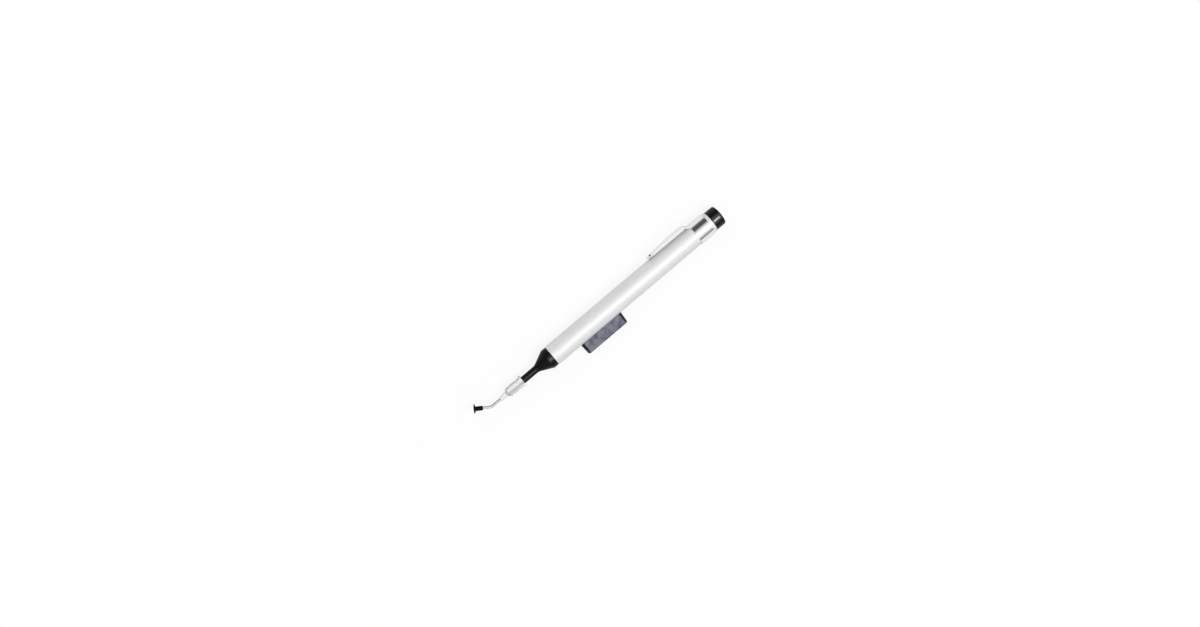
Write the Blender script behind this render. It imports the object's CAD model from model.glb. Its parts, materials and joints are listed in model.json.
# %% [markdown]
# # Dressing a vacuum pick-up pen
# This pen lifts small parts from a tray. Its button squeezes a rubber bulb inside the tube,
# and as the bulb springs back it draws air in through the suction cup.
# The sizes come from a CAD model, which loads here as a fixed frame. The lesson gives every
# piece its finish, and models again those whose curves and edges should be smooth and soft.

# %% Load the frame
import json
import math

import bmesh
import bpy
from mathutils import Matrix, Vector

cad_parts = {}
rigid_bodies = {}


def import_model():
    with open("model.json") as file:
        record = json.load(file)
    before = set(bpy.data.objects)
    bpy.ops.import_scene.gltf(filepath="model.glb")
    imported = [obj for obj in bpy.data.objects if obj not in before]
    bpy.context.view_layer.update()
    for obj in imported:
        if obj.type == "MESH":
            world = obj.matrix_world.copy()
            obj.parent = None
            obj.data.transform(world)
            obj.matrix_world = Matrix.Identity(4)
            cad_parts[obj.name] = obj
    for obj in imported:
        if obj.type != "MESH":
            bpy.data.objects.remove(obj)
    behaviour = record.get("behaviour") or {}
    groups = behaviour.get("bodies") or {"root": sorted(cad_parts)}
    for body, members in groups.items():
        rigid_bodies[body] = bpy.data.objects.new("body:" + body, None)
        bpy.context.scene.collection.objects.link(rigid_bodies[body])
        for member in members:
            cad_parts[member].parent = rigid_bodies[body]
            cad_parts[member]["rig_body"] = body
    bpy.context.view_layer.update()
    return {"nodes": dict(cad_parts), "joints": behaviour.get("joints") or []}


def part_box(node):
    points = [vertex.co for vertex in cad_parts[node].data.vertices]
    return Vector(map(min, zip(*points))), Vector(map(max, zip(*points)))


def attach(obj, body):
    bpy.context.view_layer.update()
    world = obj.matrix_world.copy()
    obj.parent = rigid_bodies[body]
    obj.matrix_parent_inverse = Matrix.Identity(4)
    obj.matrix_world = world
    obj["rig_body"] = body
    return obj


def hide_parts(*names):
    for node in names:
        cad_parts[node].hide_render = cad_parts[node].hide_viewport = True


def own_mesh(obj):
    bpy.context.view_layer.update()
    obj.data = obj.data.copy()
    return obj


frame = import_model()
nodes = frame["nodes"]
mm = 0.001
print("nodes:", ", ".join(sorted(nodes)))

# %% [markdown]
# ## The pen's own directions
# The pen lies on the table rolled to one side, on its clip's band and its button's edge.
# It is far easier to model it straight: along X from the tube's front edge, with the clip
# towards Y. One matrix then lays each finished mesh down where the CAD pieces are, and it
# is read from the frame: the tube's box gives the axis, and the button's joint the roll.

# %% Find the axis and the roll
tube_low, tube_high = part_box("barrel")
press = next(joint for joint in frame["joints"] if joint["name"] == "button_press")
backward = Vector((1, 0, 0))
clipward = Vector(press["axis"]).normalized()
upward = backward.cross(clipward)
tube_front = Vector((tube_low.x, (tube_low.y + tube_high.y) / 2, (tube_low.z + tube_high.z) / 2))
lay_down = Matrix.Translation(tube_front) @ Matrix((backward, clipward, upward)).transposed().to_4x4()
roll = math.atan2(clipward.z, clipward.y)
print(f"axis {tube_front.z / mm:.2f} mm over the table, rolled {math.degrees(roll):.1f} degrees")

# %% [markdown]
# ## The camera
# The photograph looks straight down on the pen, which slopes up to the right. So the camera
# hangs over the table, turned by that slope and leaning a little towards the nose. The lens
# follows from the real width of the picture at the pen's axis.

# %% Hang the camera over the table
photo_width = 1200
pixel = 0.57 * mm
slope = math.radians(40.2)
lean = math.radians(2.8)
height = 600 * mm
aim = tube_front + Vector((36.4, 0.7, 0)) * mm

tail_side = Vector((math.cos(lean), 0, math.sin(lean)))
across = Vector((0, 1, 0))
right = math.cos(slope) * tail_side - math.sin(slope) * across
above = math.sin(slope) * tail_side + math.cos(slope) * across
towards_camera = right.cross(above)
camera = bpy.data.objects.new("camera", bpy.data.cameras.new("camera"))
bpy.context.scene.collection.objects.link(camera)
camera.data.sensor_width = 36
camera.data.lens = camera.data.sensor_width * height / (photo_width * pixel)
camera.matrix_world = (Matrix.Translation(aim + towards_camera * height)
                       @ Matrix((right, above, towards_camera)).transposed().to_4x4())
bpy.context.scene.camera = camera
bpy.context.scene.view_settings.view_transform = "Standard"
print(f"lens {camera.data.lens:.1f} mm at {height / mm:.0f} mm")

# %% [markdown]
# ## Shader maths as Python
# Node trees get hard to read when every sum is three lines of code. Here a small class wraps
# a socket, and Python's operators on it add Math nodes. One method adds any other node: its
# settings come first, since some of them change which sockets the node has.


# %% Wrap sockets and trees
class Shade:
    """A shader socket that Python's operators work on."""

    def __init__(self, paint, socket):
        self.paint = paint
        self.socket = socket

    def maths(self, operation, first, second):
        return self.paint.node("Math", {"operation": operation}, {0: first, 1: second})

    def __add__(self, other):
        return self.maths("ADD", self, other)

    def __sub__(self, other):
        return self.maths("SUBTRACT", self, other)

    def __rsub__(self, other):
        return self.maths("SUBTRACT", other, self)

    def __mul__(self, other):
        return self.maths("MULTIPLY", self, other)

    __radd__ = __add__
    __rmul__ = __mul__


class Paint:
    """A node tree, of a material or of the world, that is built from Python."""

    def __init__(self, tree):
        self.tree = tree

    def node(self, kind, settings=None, sockets=None, output=0):
        made = self.tree.nodes.new("ShaderNode" + kind)
        for name, value in (settings or {}).items():
            setattr(made, name, value)
        for name, value in (sockets or {}).items():
            self.feed(made.inputs[name], value)
        return Shade(self, made.outputs[output]) if made.outputs else made

    def feed(self, socket, value):
        if isinstance(value, Shade):
            self.tree.links.new(value.socket, socket)
        else:
            socket.default_value = value

    def place(self):
        return self.node("TexCoord", output="Object")

    def ray(self, kind):
        return self.node("LightPath", output=f"Is {kind} Ray")

    def stretched(self, scale):
        return self.node("Mapping", sockets={"Vector": self.place(), "Scale": scale})

    def noise(self, size, where=None, detail=2.0):
        sockets = {"Vector": where or self.place(), "Scale": 1 / size, "Detail": detail}
        return self.node("TexNoise", sockets=sockets)

    def step(self, value, low, high):
        """0 where value is under low, 1 where it is over high, and smooth between them."""
        sockets = {"Value": value, "From Min": low, "From Max": high}
        return self.node("MapRange", {"interpolation_type": "SMOOTHSTEP"}, sockets)

    def mixed(self, share, first, second):
        sockets = {0: share, 6: first, 7: second}
        return self.node("Mix", {"data_type": "RGBA"}, sockets, output=2)


# %% [markdown]
# ## Table and light
# The table is plain white card. Close to the pen it is an ordinary matt surface, which keeps
# the pen's soft shadow, and further out it fades into even white as a studio sweep does.
# It throws less light back at the pen than it shows, and least on the button's side, or the
# pen's sides would lose their shade.
# One softbox hangs on the button's side, a little off the vertical: it draws the narrow
# bright line along the black cap. A weak fill on the clip's side opens the shade there. Round
# the softbox the ceiling glows, and the rest of the room is dim down to a pale horizon: bright
# metal only looks like metal with something dark to mirror. Behind the table is a white
# backdrop, which the camera and the mirrors see, but which lights nothing.

# %% Lay the table
table_shape = bmesh.new()
bmesh.ops.create_grid(table_shape, x_segments=1, y_segments=1, size=3)
table_mesh = bpy.data.meshes.new("table")
table_shape.to_mesh(table_mesh)
table_shape.free()
table = bpy.data.objects.new("table", table_mesh)
bpy.context.scene.collection.objects.link(table)

card = bpy.data.materials.new("white_card")
card.use_nodes = True
card.node_tree.nodes.clear()
card_paint = Paint(card.node_tree)
# The fade follows the pen's long shape, so distances along X count for half
from_pen = card_paint.node("VectorMath", {"operation": "LENGTH"},
                           {0: card_paint.stretched((0.5, 1, 1))}, output="Value")
seen = card_paint.ray("Camera") + card_paint.ray("Glossy") + card_paint.ray("Transmission")
white_near_pen = 0.85
fade_start = 40 * mm
fade_end = 130 * mm
near_pen = white_near_pen * card_paint.ray("Camera")
fade = near_pen + (1 - near_pen) * card_paint.step(from_pen, fade_start, fade_end)
fibres = card_paint.noise(0.8 * mm)
card_colour = card_paint.mixed(fibres, (0.93, 0.93, 0.93, 1), (0.96, 0.96, 0.96, 1))
matt = card_paint.node("BsdfDiffuse", sockets={"Color": card_colour})
card_y = card_paint.node("SeparateXYZ", sockets={0: card_paint.place()}, output="Y")
bounce_edge = 20 * mm
clip_side = card_paint.step(card_y, -bounce_edge, bounce_edge)
quiet_colour = card_paint.mixed(clip_side, (0.25, 0.25, 0.25, 1), (0.75, 0.75, 0.75, 1))
quiet = card_paint.node("BsdfDiffuse", sockets={"Color": quiet_colour})
even_white = card_paint.node("Emission", sockets={"Color": (1, 1, 1, 1), "Strength": 1})
sweep = card_paint.node("MixShader", sockets={0: fade, 1: matt, 2: even_white})
card_shader = card_paint.node("MixShader", sockets={0: seen, 1: quiet, 2: sweep})
card_paint.node("OutputMaterial", sockets={"Surface": card_shader})
table_mesh.materials.append(card)
print("table:", len(table_mesh.polygons), "face")

# %% Hang the softbox
box_tilt = math.radians(22)
box_distance = 1.1
box_length = 0.5
box_width = 0.38
box_radiance = 6.1
box_shift = 0.15
to_box = Vector((0, -math.sin(box_tilt), math.cos(box_tilt)))
softbox = bpy.data.objects.new("softbox", bpy.data.lights.new("softbox", "AREA"))
bpy.context.scene.collection.objects.link(softbox)
softbox.data.shape = "RECTANGLE"
softbox.data.size = box_length
softbox.data.size_y = box_width
softbox.data.energy = 4 * box_radiance * box_length * box_width
# It hangs nearer the tail, or the cap would mirror only its edge
softbox.location = to_box * box_distance + Vector((box_shift, 0, 0))
softbox.rotation_euler = (box_tilt, 0, 0)
print(f"softbox {box_length:.2f} by {box_width:.2f} m, {softbox.data.energy:.1f} W")

# %% Hang the fill
fill_tilt = math.radians(38)
fill_distance = 1.2
fill_size = 0.9
fill_radiance = 1.15
to_fill = Vector((0, math.sin(fill_tilt), math.cos(fill_tilt)))
fill = bpy.data.objects.new("fill", bpy.data.lights.new("fill", "AREA"))
bpy.context.scene.collection.objects.link(fill)
fill.data.size = fill_size
fill.data.energy = 4 * fill_radiance * fill_size ** 2
fill.location = to_fill * fill_distance
fill.rotation_euler = (-fill_tilt, 0, 0)
# A mirror image of the fill would wash out the dark stripe on the clip's band
fill.visible_glossy = False
print(f"fill {fill_size:.2f} m square, {fill.data.energy:.1f} W")

# %% Dim the room
room = bpy.data.worlds.new("room")
room.use_nodes = True
room.node_tree.nodes.clear()
bpy.context.scene.world = room
room_paint = Paint(room.node_tree)
direction = room_paint.node("TexCoord", output="Generated")
facing_box = room_paint.node("VectorMath", {"operation": "DOT_PRODUCT"},
                             {0: direction, 1: to_box}, output="Value")
glow_edge = math.radians(56)
glow_core = math.radians(16)
glow = room_paint.step(facing_box, math.cos(glow_edge), math.cos(glow_core))
rise = room_paint.node("SeparateXYZ", sockets={0: direction}, output="Z")
clipward_share = room_paint.node("SeparateXYZ", sockets={0: direction}, output="Y")
horizon = (1 - room_paint.step(rise, 0.1, 0.5)) * (0.42 + 0.2 * clipward_share)
backdrop = 1 - room_paint.step(rise, 0.02, 0.2)
mirrored = room_paint.ray("Glossy") + room_paint.ray("Transmission")
white = room_paint.ray("Camera") + mirrored * backdrop
dimness = 0.1
brightness = white + (1 - white) * (dimness + 0.95 * glow + horizon)
background = room_paint.node("Background", sockets={"Color": (1, 1, 1, 1), "Strength": brightness})
room_paint.node("OutputWorld", sockets={"Surface": background})
print("room lit")

# %% [markdown]
# ## Finishes
# Each finish starts from Blender's Principled shader. What is the same all over a surface is
# set on the shader's own sockets. What varies, such as grain, comes from noise in the
# piece's own coordinates, at the size that the real grain has.


# %% Start a finish
def start_finish(name, **constants):
    """A material with a Principled shader, with these sockets set to plain numbers."""
    material = bpy.data.materials.new(name)
    material.use_nodes = True
    paint = Paint(material.node_tree)
    shader = material.node_tree.nodes["Principled BSDF"]
    for socket, value in constants.items():
        shader.inputs[socket.replace("_", " ")].default_value = value
    return material, paint, shader.inputs


def bump(paint, height, depth):
    """A Bump node's normal, for a height from 0 to 1 that stands for this depth."""
    return paint.node("Bump", sockets={"Height": height, "Distance": depth, "Strength": 1})


# %% [markdown]
# ### Satin aluminium
# The tube is drawn, blasted with fine beads and anodised. So it has an even grain of about a
# tenth of a millimetre, and under it faint lines along the tube from the drawing die. The
# oxide skin scatters light as paint does, and a share of Metallic below 1 stands for that.
# The ends were cut after that, and the bare chamfers are brighter metal.

# %% Make the satin aluminium
satin_aluminium, paint, surface = start_finish("satin_aluminium")
along = paint.node("SeparateXYZ", sockets={0: paint.place()}, output="X")
cut_width = 0.4 * mm
from_front = along - tube_low.x
from_back = tube_high.x - along
cut = 1 - paint.step(from_front.maths("MINIMUM", from_front, from_back), cut_width, 1.1 * cut_width)
blast = paint.noise(0.12 * mm, detail=3)
die_lines = paint.noise(1, paint.stretched((25, 2600, 2600)))
cloud = paint.noise(14 * mm)
skin = paint.mixed(cloud, (0.81, 0.812, 0.82, 1), (0.85, 0.852, 0.86, 1))
paint.feed(surface["Base Color"], paint.mixed(cut, skin, (0.9, 0.9, 0.91, 1)))
paint.feed(surface["Metallic"], 0.3 + 0.7 * cut)
paint.feed(surface["Roughness"], 0.52 + 0.08 * blast + 0.04 * die_lines - 0.3 * cut)
paint.feed(surface["Normal"], bump(paint, 0.7 * blast + 0.3 * die_lines, 0.004 * mm))

# %% [markdown]
# ### Bright chrome
# The clip is sheet steel, polished and chromed. It is almost a mirror, with a few fine
# polishing lines and the haze that fingers leave.

# %% Make the bright chrome
bright_chrome, paint, surface = start_finish("bright_chrome", Metallic=1)
polish = paint.noise(1, paint.stretched((60, 3500, 3500)), detail=3)
haze = paint.step(paint.noise(6 * mm, detail=4), 0.45, 0.75)
paint.feed(surface["Base Color"], paint.mixed(haze, (0.83, 0.825, 0.83, 1), (0.78, 0.775, 0.78, 1)))
paint.feed(surface["Roughness"], 0.05 + 0.05 * haze + 0.03 * polish)
paint.feed(surface["Normal"], bump(paint, polish, 0.0006 * mm))

# %% [markdown]
# ### Black plastics
# The nose and the end cap are moulded in black. The nose left a half-matt mould, and the cap
# a polished one. The bulb and the suction cup are black rubber, which is duller still. All
# are the same recipe with other numbers, so one function makes them. The two mouldings also
# have a coat, which draws their bright lines. It fades towards the outline, where it would
# only mirror the white table and turn the black to grey.


# %% Make the black plastics
def moulded_plastic(name, colour, rough, grain_size, grain_depth, shine=0.5):
    material, paint, surface = start_finish(name, Specular_IOR_Level=shine)
    grain = paint.noise(grain_size, detail=3)
    flow = paint.noise(9 * mm, detail=3)
    paler = tuple(1.25 * channel for channel in colour)
    paint.feed(surface["Base Color"], paint.mixed(flow, (*colour, 1), (*paler, 1)))
    paint.feed(surface["Roughness"], rough + 0.08 * grain + 0.06 * flow - 0.07)
    paint.feed(surface["Normal"], bump(paint, grain, grain_depth))
    return material


def add_gloss(material, gloss, rough):
    """A coat of this weight where it faces the eye, and of none near the outline."""
    paint = Paint(material.node_tree)
    surface = material.node_tree.nodes["Principled BSDF"].inputs
    surface["Coat Roughness"].default_value = rough
    surface["Coat IOR"].default_value = coat_ior
    edge_on = paint.node("LayerWeight", output="Facing")
    paint.feed(surface["Coat Weight"], gloss * (1 - paint.step(edge_on, 0.04, 0.3)))


coat_ior = 1.8
nose_plastic = moulded_plastic("nose_plastic", (0.003, 0.003, 0.004), 0.3, 0.25 * mm, 0.003 * mm, shine=0.12)
add_gloss(nose_plastic, 0.2, 0.3)
cap_plastic = moulded_plastic("cap_plastic", (0.003, 0.003, 0.004), 0.12, 0.6 * mm, 0.0015 * mm, shine=0.17)
add_gloss(cap_plastic, 0.6, 0.1)
bulb_rubber = moulded_plastic("bulb_rubber", (0.03, 0.028, 0.028), 0.7, 0.3 * mm, 0.01 * mm)
cup_rubber = moulded_plastic("cup_rubber", (0.002, 0.002, 0.002), 0.5, 0.15 * mm, 0.008 * mm, shine=0.08)

# %% [markdown]
# ### Rubbed button plastic
# The button's flanks are rubbed by the fingers to a dull slate colour with a fine grain. Its
# two ends are hardly touched, and there the plastic is still black and smooth. The distance
# from the nearer end tells the two apart, and a little noise makes the border uneven.

# %% Make the button's plastic
foot_lip = 1.6 * mm
button_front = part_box("push_button")[0].x + foot_lip
button_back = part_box("push_button")[1].x - foot_lip
button_plastic, paint, surface = start_finish("button_plastic", Specular_IOR_Level=0.25)
along = paint.node("SeparateXYZ", sockets={0: paint.place()}, output="X")
grain = paint.noise(0.2 * mm, detail=3)
patches = paint.noise(3.5 * mm, detail=4)
more_black_front = 1 * mm
more_black_back = 0.8 * mm
from_end = along.maths("MINIMUM", along - button_front - more_black_front,
                       button_back - along - more_black_back)
rubbed = paint.step(from_end + 0.6 * mm * (patches - 0.5), 0.8 * mm, 1.1 * mm)
wear = paint.step(patches + 0.5 * (grain - 0.5), 0.3, 0.7)
slate = paint.mixed(wear, (0.09, 0.095, 0.13, 1), (0.22, 0.225, 0.285, 1))
paint.feed(surface["Base Color"], paint.mixed(rubbed, (0.005, 0.005, 0.006, 1), slate))
paint.feed(surface["Roughness"], 0.3 + 0.12 * rubbed + 0.08 * grain)
paint.feed(surface["Normal"], bump(paint, grain * rubbed, 0.012 * mm))

# %% [markdown]
# ### Natural plastic
# The hub is moulded from plastic with no pigment in it, so it is milky: light goes a little
# way in and comes out again. Subsurface scattering does that, with faint flow streaks. The
# ribs, and the shoulder before the neck, are thicker than the wall and let less light through,
# so they are greyer.

# %% Make the natural plastic
natural_plastic, paint, surface = start_finish("natural_plastic", Subsurface_Weight=0.3,
                                               Subsurface_Scale=0.6 * mm)
surface["Subsurface Radius"].default_value = (1, 1, 0.9)
rib_w = 0.8 * mm
from_axis = paint.node("VectorMath", {"operation": "SUBTRACT"}, {0: paint.place(), 1: tube_front})
offsets = [paint.node("VectorMath", {"operation": "DOT_PRODUCT"}, {0: from_axis, 1: way}, output="Value")
           for way in (clipward, upward)]
beside = [offset.maths("ABSOLUTE", offset, 0) for offset in offsets]
beside_rib = beside[0].maths("MINIMUM", *beside)
out_from_axis = beside[0].maths("MAXIMUM", *beside)
near_rib = 1 - paint.step(beside_rib, 0.4 * rib_w, 1.9 * rib_w)
on_rib = near_rib * paint.step(out_from_axis, 1.6 * mm, 2 * mm)
along = paint.node("SeparateXYZ", sockets={0: paint.place()}, output="X")
mouth_to_shoulder = 11.2 * mm
from_shoulder = along - (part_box("tip_hub")[1].x - mouth_to_shoulder)
beside_shoulder = from_shoulder.maths("ABSOLUTE", from_shoulder, 0)
on_shoulder = 0.8 - 0.8 * paint.step(beside_shoulder, 0.5 * mm, 1.3 * mm)
thick = on_rib.maths("MAXIMUM", on_rib, on_shoulder)
streaks = paint.noise(1, paint.stretched((180, 900, 900)), detail=3)
wall = paint.mixed(streaks, (0.82, 0.83, 0.83, 1), (0.9, 0.905, 0.9, 1))
paint.feed(surface["Base Color"], paint.mixed(thick, wall, (0.53, 0.54, 0.54, 1)))
paint.feed(surface["Roughness"], 0.26 + 0.1 * streaks)
paint.feed(surface["Normal"], bump(paint, streaks, 0.004 * mm))

# %% [markdown]
# ### Needle steel
# The needle is a drawn stainless tube: grey, bright, with fine lines along it.

# %% Make the needle steel
needle_steel, paint, surface = start_finish("needle_steel", Metallic=1)
fine_lines = paint.noise(1, paint.stretched((80, 5000, 5000)), detail=3)
paint.feed(surface["Base Color"], paint.mixed(fine_lines, (0.6, 0.6, 0.61, 1), (0.68, 0.68, 0.69, 1)))
paint.feed(surface["Roughness"], 0.5 + 0.15 * fine_lines)
paint.feed(surface["Normal"], bump(paint, fine_lines, 0.001 * mm))
print("finishes:", ", ".join(material.name for material in bpy.data.materials if material.users == 0))

# %% [markdown]
# ## Ways to make a piece
# Most of the pen is round. A turned piece starts as a bare line of a few corners, half of a
# section through the pen. Bevelling the line's vertices rounds them, and a full spin about
# the axis makes the solid. Another helper lays a finished shape down in the frame, and says
# which CAD node it stands for.


# %% Turn a profile, and lay a piece down
def turned(profile, turns=96, closed=True):
    """A shape turned about X from corners of (distance along, radius, length of the rounding)."""
    shape = bmesh.new()
    corners = [shape.verts.new((a, r, 0)) for a, r, _ in profile]
    for first, second in zip(corners, corners[1:]):
        shape.edges.new((first, second))
    if closed:
        shape.edges.new((corners[-1], corners[0]))
    for corner, (_, _, rounding) in zip(corners, profile):
        if rounding:
            bmesh.ops.bevel(shape, geom=[corner], offset=rounding, offset_type="OFFSET", segments=6,
                            profile=0.5, affect="VERTICES", material=-1)
    bmesh.ops.spin(shape, geom=shape.verts[:] + shape.edges[:], axis=(1, 0, 0), cent=(0, 0, 0),
                   angle=2 * math.pi, steps=turns, use_merge=True)
    return shape


def put_in_place(shape, name, finish, node, crease=35):
    """Makes a piece of a shape that was modelled straight. It takes the place of a CAD node."""
    bmesh.ops.remove_doubles(shape, verts=shape.verts[:], dist=0.001 * mm)
    bmesh.ops.recalc_face_normals(shape, faces=shape.faces[:])
    bmesh.ops.transform(shape, matrix=lay_down, verts=shape.verts[:])
    open_edges = sum(1 for edge in shape.edges if len(edge.link_faces) != 2)
    mesh = bpy.data.meshes.new(name)
    shape.to_mesh(mesh)
    shape.free()
    mesh.shade_smooth()
    mesh.set_sharp_from_angle(angle=math.radians(crease))
    mesh.materials.append(finish)
    piece = bpy.data.objects.new(name, mesh)
    bpy.context.scene.collection.objects.link(piece)
    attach(piece, nodes[node]["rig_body"])
    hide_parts(node)
    print(f"{name}: {len(mesh.polygons)} faces, {open_edges} open edges")
    return piece


# %% [markdown]
# ## The tube
# The CAD tube is already right: a straight wall, chamfered ends and the button's slot. So it
# stays, and only takes its finish.

# %% Finish the tube
nodes["barrel"].material_slots[0].material = satin_aluminium
tube_r = (tube_high.z - tube_low.z) / 2
tube_len = tube_high.x - tube_low.x
bore_r = tube_r - 1 * mm
plug_r = bore_r - 0.03 * mm
print(f"tube {tube_len / mm:.1f} mm long, {2 * tube_r / mm:.1f} mm across")

# %% [markdown]
# ## The nose
# The nose is one turned-looking moulding: a plug in the tube, a shoulder, a cone that flows
# into the stem, and at the front the slip taper that the hub is pushed on. Behind the plug a
# barbed nipple carries the bulb, and an air way runs through all of it.

# %% Model the nose
nose_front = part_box("nose_cone")[0].x - tube_front.x
nose_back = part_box("nose_cone")[1].x - tube_front.x
shoulder_r = 6.15 * mm
shoulder_len = 3.1 * mm
cone_len = 8.3 * mm
stem_r = 2.15 * mm
taper_tip_r = 1.985 * mm
taper_len = 5.5 * mm
air_r = 0.8 * mm
nose_plug_len = 7 * mm
nipple_r = 2.2 * mm
barb = 0.3 * mm
nipple_len = nose_back - nose_plug_len
nose = turned([
    (nose_front, air_r, 0),
    (nose_front, taper_tip_r, 0.3 * mm),
    (nose_front + taper_len, stem_r, 0),
    (-shoulder_len - cone_len, stem_r, 1.14 * mm),
    (-shoulder_len, shoulder_r, 0.25 * mm),
    (0, shoulder_r, 0.3 * mm),
    (0, plug_r, 0),
    (nose_plug_len, plug_r, 0.3 * mm),
    (nose_plug_len, nipple_r, 0),
    (nose_back - nipple_len / 2, nipple_r, 0),
    (nose_back - nipple_len / 2 + barb, nipple_r + barb, 0.05 * mm),
    (nose_back, nipple_r - barb, 0.1 * mm),
    (nose_back, air_r, 0)])
put_in_place(nose, "nose_moulding", nose_plastic, "nose_cone")

# %% [markdown]
# ## The bulb
# The rubber bulb is closed at the back and slips over the nipple at the front. The button's
# foot lies on it. It can't follow a rigid body when the button goes in, so it flattens
# towards the clip's side of the tube as the joint moves.

# %% Model the bulb
bulb_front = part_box("squeeze_bulb")[0].x - tube_front.x
bulb_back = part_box("squeeze_bulb")[1].x - tube_front.x
bulb_r = 4.2 * mm
bulb_wall = 0.9 * mm
bulb_round = 2.8 * mm
bulb_gap = 0.1 * mm
neck_r = nipple_r + barb + bulb_gap + bulb_wall
bulb = turned([
    (bulb_back - bulb_wall, 0, 0),
    (bulb_back - bulb_wall, bulb_r - bulb_wall, bulb_round - bulb_wall),
    (nose_back + bulb_round, bulb_r - bulb_wall, 0.4 * mm),
    (nose_back + bulb_gap, nipple_r + barb + bulb_gap, 0),
    (bulb_front, nipple_r + barb + bulb_gap, 0),
    (bulb_front, neck_r, 0.3 * mm),
    (nose_back, neck_r, 0.3 * mm),
    (nose_back + bulb_round, bulb_r, 0.6 * mm),
    (bulb_back, bulb_r, bulb_round),
    (bulb_back, 0, 0)], closed=False)
bulb_piece = put_in_place(bulb, "bulb_moulding", bulb_rubber, "squeeze_bulb")
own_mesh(bulb_piece)

# %% [markdown]
# ## The button
# The button is a narrow bar with round ends that slides in the tube's slot. Inside the tube
# it widens into a curved foot, which stops it from falling out and presses on the bulb.
# The bar starts as a cube. Its ends are drawn in a little at the face, as mouldings are, and
# two bevels round the upright corners and then the edges of the face. The foot is a curved
# strip with thickness, trimmed to its width. Bar and foot overlap, and a Boolean modifier
# makes one skin of the two, as in the mould.

# %% Model the button's bar
button_len = 29.8 * mm
button_w = 4.8 * mm
button_face = 13.49 * mm
foot_front = 14.8 * mm
foot_len = button_len + 2 * foot_lip
foot_inner_r = 4.3 * mm
foot_t = 0.9 * mm
foot_w = 6.8 * mm
button_draft = 0.45 * mm
bar_corner_r = 1.9 * mm
bar_rim_r = 0.6 * mm
close_by = 0.15 * mm
bar_base = foot_inner_r + 0.1 * mm
bar_middle = foot_front + foot_len / 2
bar = bmesh.new()
bmesh.ops.create_cube(bar, size=1)
bmesh.ops.scale(bar, vec=(button_len, button_face - bar_base, button_w), verts=bar.verts[:])
bmesh.ops.translate(bar, vec=(bar_middle, -(button_face + bar_base) / 2, 0), verts=bar.verts[:])
for corner in bar.verts:
    if corner.co.y < -button_face + close_by:
        corner.co.x -= math.copysign(button_draft, corner.co.x - bar_middle)
upright = [line for line in bar.edges if abs(line.verts[0].co.y - line.verts[1].co.y) > close_by]
bmesh.ops.bevel(bar, geom=upright, offset=bar_corner_r, offset_type="OFFSET", segments=8, profile=0.5,
                affect="EDGES", material=-1)
rim = [line for line in bar.edges if max(end.co.y for end in line.verts) < -button_face + close_by]
bmesh.ops.bevel(bar, geom=rim, offset=bar_rim_r, offset_type="OFFSET", segments=5, profile=0.5,
                affect="EDGES", material=-1)
print("bar:", len(bar.faces), "faces")

# %% Model the button's foot
foot_half_angle = math.asin(foot_w / 2 / foot_inner_r)
foot = bmesh.new()
foot.edges.new([foot.verts.new((a, -foot_inner_r, 0)) for a in (foot_front, foot_front + foot_len)])
bmesh.ops.rotate(foot, matrix=Matrix.Rotation(-foot_half_angle, 3, "X"), verts=foot.verts[:])
bmesh.ops.spin(foot, geom=foot.verts[:] + foot.edges[:], axis=(1, 0, 0), cent=(0, 0, 0),
               angle=2 * foot_half_angle, steps=24)
bmesh.ops.solidify(foot, geom=foot.faces[:], thickness=foot_t)
for side in (-1, 1):
    bmesh.ops.bisect_plane(foot, geom=foot.verts[:] + foot.edges[:] + foot.faces[:], clear_outer=True,
                           plane_co=(0, 0, side * foot_w / 2), plane_no=(0, 0, side))
    bmesh.ops.holes_fill(foot, edges=[brim for brim in foot.edges if brim.is_boundary])
print("foot:", len(foot.faces), "faces")


# %% Join bar and foot
def united(first, second):
    """Two closed shapes as one, by a Boolean modifier on a passing object."""
    passing = []
    for shape in (first, second):
        bmesh.ops.recalc_face_normals(shape, faces=shape.faces[:])
        mesh = bpy.data.meshes.new("passing")
        shape.to_mesh(mesh)
        shape.free()
        passing.append(bpy.data.objects.new("passing", mesh))
        bpy.context.scene.collection.objects.link(passing[-1])
    union = passing[0].modifiers.new("union", "BOOLEAN")
    union.operation = "UNION"
    union.object = passing[1]
    whole = bmesh.new()
    whole.from_object(passing[0], bpy.context.evaluated_depsgraph_get())
    for helper in passing:
        bpy.data.objects.remove(helper)
    return whole


put_in_place(united(bar, foot), "button_moulding", button_plastic, "push_button")

# %% [markdown]
# ## The end cap
# A short plug with a round-edged head closes the back of the tube.

# %% Model the end cap
cap_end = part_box("end_cap")[1].x - tube_front.x
cap_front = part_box("end_cap")[0].x - tube_front.x
cap_r = 6.15 * mm
cap_wall = 1.4 * mm
cap_core_r = plug_r - cap_wall
cap = turned([
    (cap_end - cap_wall, 0, 0),
    (cap_end - cap_wall, cap_core_r, 0.4 * mm),
    (cap_front, cap_core_r, 0),
    (cap_front, plug_r, 0.3 * mm),
    (tube_len, plug_r, 0),
    (tube_len, cap_r, 0.3 * mm),
    (cap_end, cap_r, 0.9 * mm),
    (cap_end, 0, 0)], closed=False)
put_in_place(cap, "cap_moulding", cap_plastic, "end_cap")

# %% [markdown]
# ## The pocket clip
# The clip is pressed from one sheet: a band round the tube, and an arm that steps up from the
# band, runs forward and bows back to a round tip with a dimple, which bears on the tube. A
# sheet is best modelled as a sheet: a spun band, whose front edge is drawn out along the arm.
# Its thickness comes at the end, and then a modifier breaks its edges.

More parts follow.
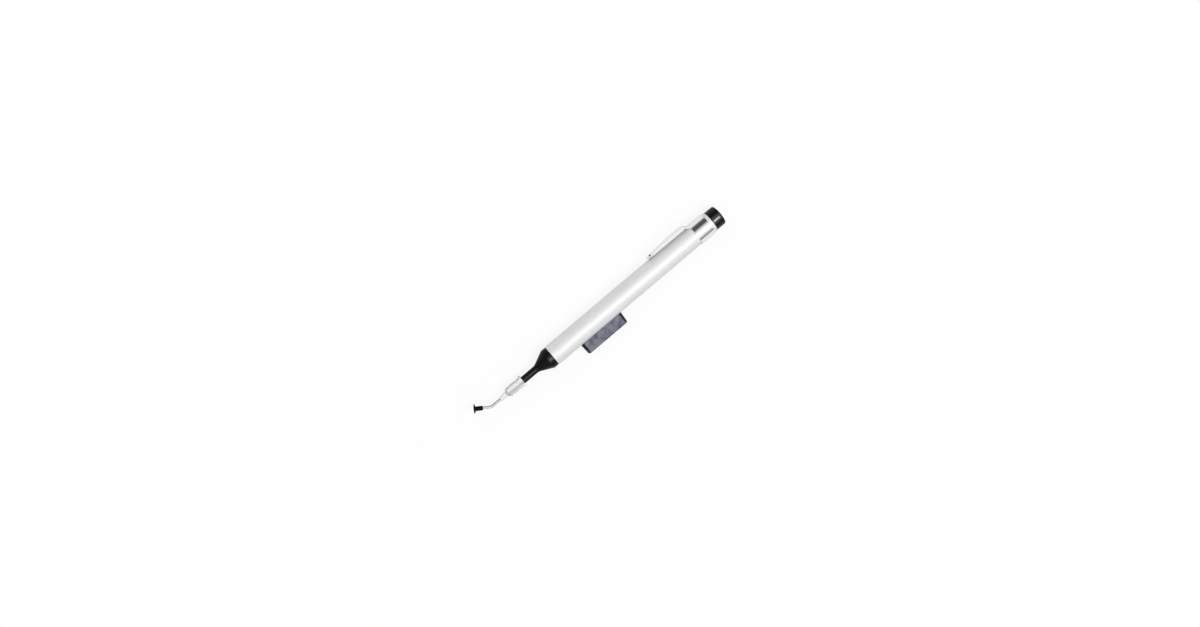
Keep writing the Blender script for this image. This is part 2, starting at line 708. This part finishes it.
# %% Spin the clip's band
sheet_t = 0.6 * mm
clip_fit = 0.03 * mm
band_mid_r = tube_r + clip_fit + sheet_t / 2
band_len = 9.8 * mm
band_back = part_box("pocket_clip")[1].x - tube_front.x
band_front = band_back - band_len
band_turns = 180
clip = bmesh.new()
clip.edges.new([clip.verts.new((a, band_mid_r, 0)) for a in (band_front, band_back)])
bmesh.ops.spin(clip, geom=clip.verts[:] + clip.edges[:], axis=(1, 0, 0), cent=(0, 0, 0),
               angle=2 * math.pi, steps=band_turns, use_merge=True)
print("band:", len(clip.faces), "faces")

# %% Describe the arm
arm_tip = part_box("pocket_clip")[0].x - tube_front.x
arm_root_half_w = 2.3 * mm
arm_tip_half_w = 1.95 * mm
arm_high_r = tube_r + 2.45 * mm + sheet_t / 2
arm_tip_r = tube_r + 1.2 * mm + sheet_t / 2
arm_bend_len = 4 * mm
arm_bow_len = 20 * mm
bend_front = band_front - arm_bend_len
bow_back = arm_tip + arm_bow_len
tip_middle = arm_tip + arm_tip_half_w


def arm_radius(a):
    """How far the middle of the sheet is from the pen's axis."""
    if a > bend_front:
        swing = math.pi * (band_front - a) / arm_bend_len
        return band_mid_r + (arm_high_r - band_mid_r) * (1 - math.cos(swing)) / 2
    bowed = max(0, bow_back - a) / arm_bow_len
    return arm_high_r - (arm_high_r - arm_tip_r) * bowed ** 2


def arm_half_width(a):
    """Half of the arm's width, which shrinks a little towards the round tip."""
    if a < tip_middle:
        return math.sqrt(arm_tip_half_w ** 2 - (tip_middle - a) ** 2)
    return arm_tip_half_w + (arm_root_half_w - arm_tip_half_w) * (a - tip_middle) / (band_front - tip_middle)


# %% Draw the arm out of the band
def spaced(first, last, count):
    """Places from first to last in equal steps, without first itself."""
    return [first + (last - first) * step / count for step in range(1, count + 1)]


dimple_at = arm_tip + 2.7 * mm
dimple_reach = 1.9 * mm
round_tip = [tip_middle - arm_tip_half_w * math.sin(math.radians(turn)) for turn in range(6, 88, 6)]
places = (spaced(band_front, bend_front, 12) + spaced(bend_front, bow_back, 6)
          + spaced(bow_back, dimple_at + dimple_reach, 16)
          + spaced(dimple_at + dimple_reach, tip_middle, 15) + round_tip)
front_edges = [line for line in clip.edges
               if all(abs(end.co.x - band_front) < close_by and end.co.y > 0
                      and abs(end.co.z) < arm_root_half_w for end in line.verts)]
for a in places:
    drawn = bmesh.ops.extrude_edge_only(clip, edges=front_edges)["geom"]
    front_edges = [part for part in drawn if isinstance(part, bmesh.types.BMEdge)]
    corners = [part for part in drawn if isinstance(part, bmesh.types.BMVert)]
    widest = max(corner.co.z for corner in corners)
    for corner in corners:
        beside_middle = arm_half_width(a) * corner.co.z / widest
        corner.co = (a, math.sqrt(arm_radius(a) ** 2 - beside_middle ** 2), beside_middle)
print("arm:", len(clip.faces) - band_turns, "faces")

# %% Press the dimple
dimple_depth = arm_radius(dimple_at) - band_mid_r
for corner in clip.verts:
    share = math.hypot(corner.co.x - dimple_at, corner.co.z) / dimple_reach
    if share < 1 and corner.co.y > 0:
        corner.co.y -= dimple_depth * (1 - share ** 2) ** 1.5
print(f"dimple {dimple_depth / mm:.2f} mm deep")

# %% [markdown]
# The arm's sides were trimmed in the direction of the press, not square to its curved face.
# So half of the thickness is added on each side of the sheet along the normal, but on the arm
# without any move across. A layer keeps each point's move while the sheet is extruded.

# %% Make the sheet solid
bmesh.ops.recalc_face_normals(clip, faces=clip.faces[:])
clip.normal_update()
half_step = clip.verts.layers.float_vector.new("half_step")
for corner in clip.verts:
    way = corner.normal.copy()
    if corner.co.x < band_front + close_by and corner.co.y > 0 and abs(corner.co.z) <= arm_root_half_w:
        way.z = 0
    corner[half_step] = way * (sheet_t / 2 / way.length_squared)
outer_points = clip.verts[:]
inner = bmesh.ops.extrude_face_region(clip, geom=clip.faces[:], use_keep_orig=True)["geom"]
for corner in outer_points:
    corner.co += corner[half_step]
for corner in [part for part in inner if isinstance(part, bmesh.types.BMVert)]:
    corner.co -= corner[half_step]
clip_piece = put_in_place(clip, "clip_pressing", bright_chrome, "pocket_clip")


def soften(piece, width, angle):
    """Rounds a piece's edges that turn by more than this angle."""
    bevel = piece.modifiers.new("soften", "BEVEL")
    bevel.width = width
    bevel.segments = 3
    bevel.limit_method = "ANGLE"
    bevel.angle_limit = math.radians(angle)
    bevel.harden_normals = True


soften(clip_piece, 0.12 * mm, 60)

# %% [markdown]
# ## The tip's hub
# The hub slips over the taper of the nose like the hub of a syringe needle. It has two lugs at
# its mouth, four grip ribs along its body, and a neck that holds the steel needle. The body
# is turned, with its bore. The lugs are faces of the body that are extruded outwards, and
# the ribs are rows of its points that are moved outwards, so all of it stays one skin.

# %% Turn the hub
hub_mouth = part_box("tip_hub")[1].x - tube_front.x
hub_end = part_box("tip_hub")[0].x - tube_front.x
lug_front = hub_mouth - 1.2 * mm
body_front = lug_front - 9.3 * mm
neck_back = body_front - 1.5 * mm
neck_root_r = 1.6 * mm
neck_end_r = 1.25 * mm
taper_gap = 0.03 * mm
hub_bore_r = stem_r + taper_gap
hub_r = hub_bore_r + 0.5 * mm
needle_r = 0.825 * mm
needle_hole_r = needle_r + 0.02 * mm
bore_bottom = nose_front - 0.8 * mm
bore_bottom_r = 1.991 * mm
hub = turned([
    (hub_mouth, hub_r, 0),
    (lug_front, hub_r, 0),
    (body_front, hub_r, 0.3 * mm),
    (neck_back, neck_root_r, 0.3 * mm),
    (hub_end, neck_end_r, 0.3 * mm),
    (hub_end, needle_hole_r, 0),
    (bore_bottom - bore_bottom_r, needle_hole_r, 0),
    (bore_bottom, bore_bottom_r, 0.2 * mm),
    (hub_mouth, hub_bore_r, 0)], turns=120)
print("hub:", len(hub.faces), "faces")

# %% Extrude the lugs and raise the ribs
lug_r = 3.5 * mm
lug_half_w = 2.6 * mm
lug_margin = 0.05 * mm
rib_rise = 0.3 * mm
rib_half_angle = math.asin(rib_w / 2 / hub_r)
lug_faces = [face for face in hub.faces
             if lug_front < face.calc_center_median().x < hub_mouth
             and math.hypot(*face.calc_center_median().yz) > (hub_bore_r + hub_r) / 2
             and abs(face.calc_center_median().z) < lug_half_w - lug_margin]
lugs = bmesh.ops.extrude_face_region(hub, geom=lug_faces)["geom"]
bmesh.ops.delete(hub, geom=lug_faces, context="FACES")
for corner in [part for part in lugs if isinstance(part, bmesh.types.BMVert)]:
    sine = abs(corner.co.z) / math.hypot(*corner.co.yz)
    grow = min(lug_r, lug_half_w / max(sine, 0.01)) / math.hypot(*corner.co.yz)
    corner.co.yz = corner.co.yz * grow
for corner in hub.verts:
    radius = math.hypot(*corner.co.yz)
    turn = math.atan2(corner.co.z, corner.co.y)
    from_rib = abs((turn + math.pi / 4) % (math.pi / 2) - math.pi / 4)
    if hub_bore_r + close_by < radius < hub_r + close_by and from_rib < rib_half_angle:
        share = min(1, (corner.co.x - neck_back) / (body_front - neck_back))
        corner.co.yz = corner.co.yz * (1 + rib_rise * share / radius)
hub_piece = put_in_place(hub, "hub_moulding", natural_plastic, "tip_hub")
soften(hub_piece, 0.06 * mm, 40)

# %% [markdown]
# ## The needle
# The needle is a steel tube, bent by hand round a small mandrel near its end. A circle is
# drawn straight, spun through the bend and drawn straight again, and the wall comes last.

# %% Draw and bend the needle
needle_bore_r = 0.6 * mm
bend_start = hub_end - 5.7 * mm
bend_r = 3.5 * mm
bend_angle = math.radians(36)
end_len = 3.8 * mm
boss_depth = 2.9 * mm
end_way = Vector((-math.cos(bend_angle), math.sin(bend_angle), 0))
bend_end = Vector((bend_start - bend_r * math.sin(bend_angle), bend_r * (1 - math.cos(bend_angle)), 0))


def draw_out(shape, edges, way):
    """Extrudes a ring of edges, and gives all that this made."""
    drawn = bmesh.ops.extrude_edge_only(shape, edges=edges)["geom"]
    new_points = [part for part in drawn if isinstance(part, bmesh.types.BMVert)]
    bmesh.ops.translate(shape, vec=way, verts=new_points)
    return drawn


needle = bmesh.new()
bmesh.ops.create_circle(needle, segments=48, radius=needle_r)
bmesh.ops.rotate(needle, matrix=Matrix.Rotation(math.pi / 2, 3, "Y"), verts=needle.verts[:])
bmesh.ops.translate(needle, vec=(neck_back, 0, 0), verts=needle.verts[:])
ring = draw_out(needle, needle.edges[:], (bend_start - neck_back, 0, 0))
ring = [part for part in ring if not isinstance(part, bmesh.types.BMFace)]
bent = bmesh.ops.spin(needle, geom=ring, axis=(0, 0, 1), cent=(bend_start, bend_r, 0),
                      angle=-bend_angle, steps=18)
last_ring = [part for part in bent["geom_last"] if isinstance(part, bmesh.types.BMEdge)]
draw_out(needle, last_ring, end_way * (end_len + boss_depth))
bmesh.ops.recalc_face_normals(needle, faces=needle.faces[:])
bmesh.ops.solidify(needle, geom=needle.faces[:], thickness=needle_r - needle_bore_r)
put_in_place(needle, "needle_tube", needle_steel, "tip_needle")

# %% [markdown]
# ## The suction cup
# The cup is soft black rubber: a boss that grips the needle, and a thin lip with a hollow dish.
# It is turned straight like the other round pieces, then swung to the needle's end.

# %% Model the suction cup
cup_len = 4.9 * mm
lip_t = 0.4 * mm
lip_r = 2.7 * mm
boss_r = 1.325 * mm
dish_r = lip_r - 0.35 * mm
dish_depth = 0.7 * mm
cup_air_r = 0.5 * mm
cup = turned([
    (0, needle_hole_r, 0),
    (0, boss_r, 0.3 * mm),
    (lip_t - cup_len, boss_r, 0.9 * mm),
    (lip_t - cup_len, lip_r, 0.12 * mm),
    (-cup_len, lip_r, 0.12 * mm),
    (-cup_len, dish_r, 0.05 * mm),
    (0.6 * dish_depth - cup_len, 0.85 * dish_r, 0.2 * mm),
    (dish_depth - cup_len, 0.55 * dish_r, 0.3 * mm),
    (dish_depth - cup_len, cup_air_r, 0.05 * mm),
    (-boss_depth, cup_air_r, 0),
    (-boss_depth, needle_hole_r, 0)], turns=72)
to_needle_end = Matrix.Translation(bend_end + end_way * end_len) @ Matrix.Rotation(-bend_angle, 4, "Z")
bmesh.ops.transform(cup, matrix=to_needle_end, verts=cup.verts[:])
put_in_place(cup, "cup_moulding", cup_rubber, "suction_cup")
